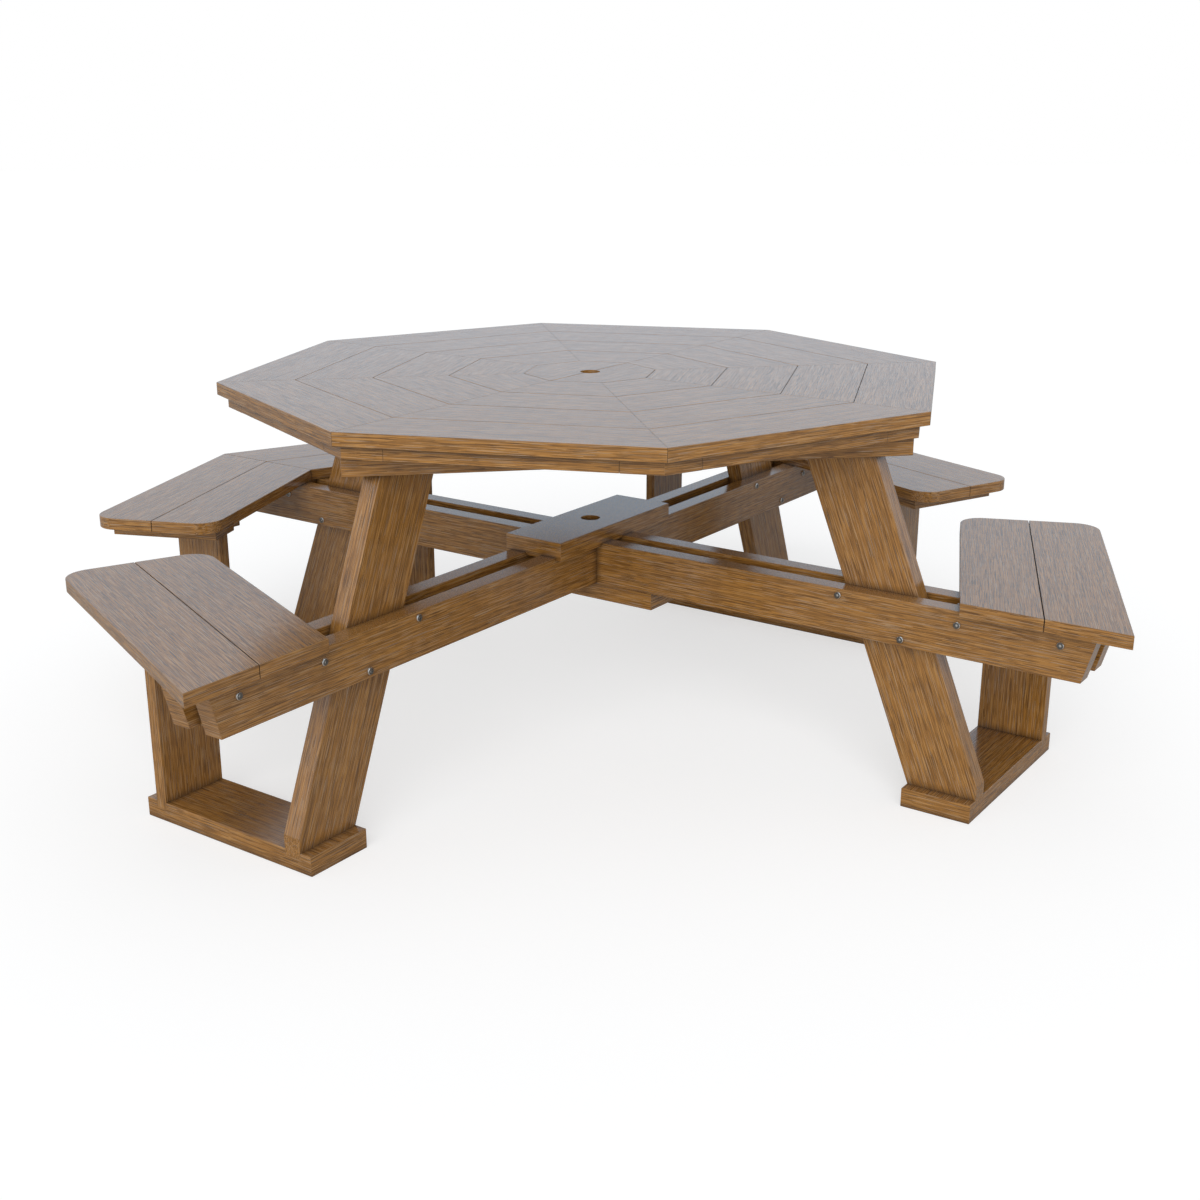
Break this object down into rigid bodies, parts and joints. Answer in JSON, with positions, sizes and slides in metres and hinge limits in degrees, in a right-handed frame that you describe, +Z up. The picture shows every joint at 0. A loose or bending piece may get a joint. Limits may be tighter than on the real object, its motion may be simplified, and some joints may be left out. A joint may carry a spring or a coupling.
{
  "type": "octagon picnic table",
  "caption": "Octagonal picnic table of plank boards with an umbrella hole, benches on crossed seat beams, and an open bay for a wheelchair.",
  "frame": {"origin": "on the ground, straight under the middle of the umbrella hole", "axes": "+Z up, -Y out through the open bay, +X to the right of someone facing the table from the bay"},
  "size_m": [2.0842, 1.9363, 0.762],
  "materials": {
    "poly_lumber": "matte",
    "fasteners": "brushed"
  },
  "bodies": {
    "root": {"leg_front_left": "poly_lumber", "leg_back_left": "poly_lumber", "leg_back_right": "poly_lumber", "leg_front_right": "poly_lumber", "foot_front_left": "poly_lumber", "foot_back_left": "poly_lumber", "foot_back_right": "poly_lumber", "foot_front_right": "poly_lumber", "upright_left_front": "poly_lumber", "ledger_left_front": "poly_lumber", "upright_left_back": "poly_lumber", "ledger_left_back": "poly_lumber", "upright_back_left": "poly_lumber", "ledger_back_left": "poly_lumber", "upright_back_right": "poly_lumber", "ledger_back_right": "poly_lumber", "upright_right_back": "poly_lumber", "ledger_right_back": "poly_lumber", "upright_right_front": "poly_lumber", "ledger_right_front": "poly_lumber", "seat_beam_rising_front": "poly_lumber", "seat_beam_rising_back": "poly_lumber", "seat_beam_falling_front": "poly_lumber", "seat_beam_falling_back": "poly_lumber", "seat_block_front_left": "poly_lumber", "seat_block_back_left": "poly_lumber", "seat_block_back_right": "poly_lumber", "seat_block_front_right": "poly_lumber", "hub_block_top": "poly_lumber", "hub_block_low": "poly_lumber", "bearer_front": "poly_lumber", "bearer_back": "poly_lumber", "corner_battens": "poly_lumber", "skirt_boards": "poly_lumber", "top_ring_1": "poly_lumber", "top_ring_2": "poly_lumber", "top_ring_3": "poly_lumber", "top_ring_4": "poly_lumber", "top_centre_front": "poly_lumber", "top_centre_back": "poly_lumber", "bench_left_front_inner": "poly_lumber", "bench_left_front_outer": "poly_lumber", "bench_left_back_inner": "poly_lumber", "bench_left_back_outer": "poly_lumber", "bench_back_left_inner": "poly_lumber", "bench_back_left_outer": "poly_lumber", "bench_back_right_inner": "poly_lumber", "bench_back_right_outer": "poly_lumber", "bench_right_back_inner": "poly_lumber", "bench_right_back_outer": "poly_lumber", "bench_right_front_inner": "poly_lumber", "bench_right_front_outer": "poly_lumber", "cleat_left_front": "poly_lumber", "cleat_left_back": "poly_lumber", "cleat_back_left": "poly_lumber", "cleat_back_right": "poly_lumber", "cleat_right_back": "poly_lumber", "cleat_right_front": "poly_lumber", "beam_bolts": "fasteners"}
  },
  "joints": []
}
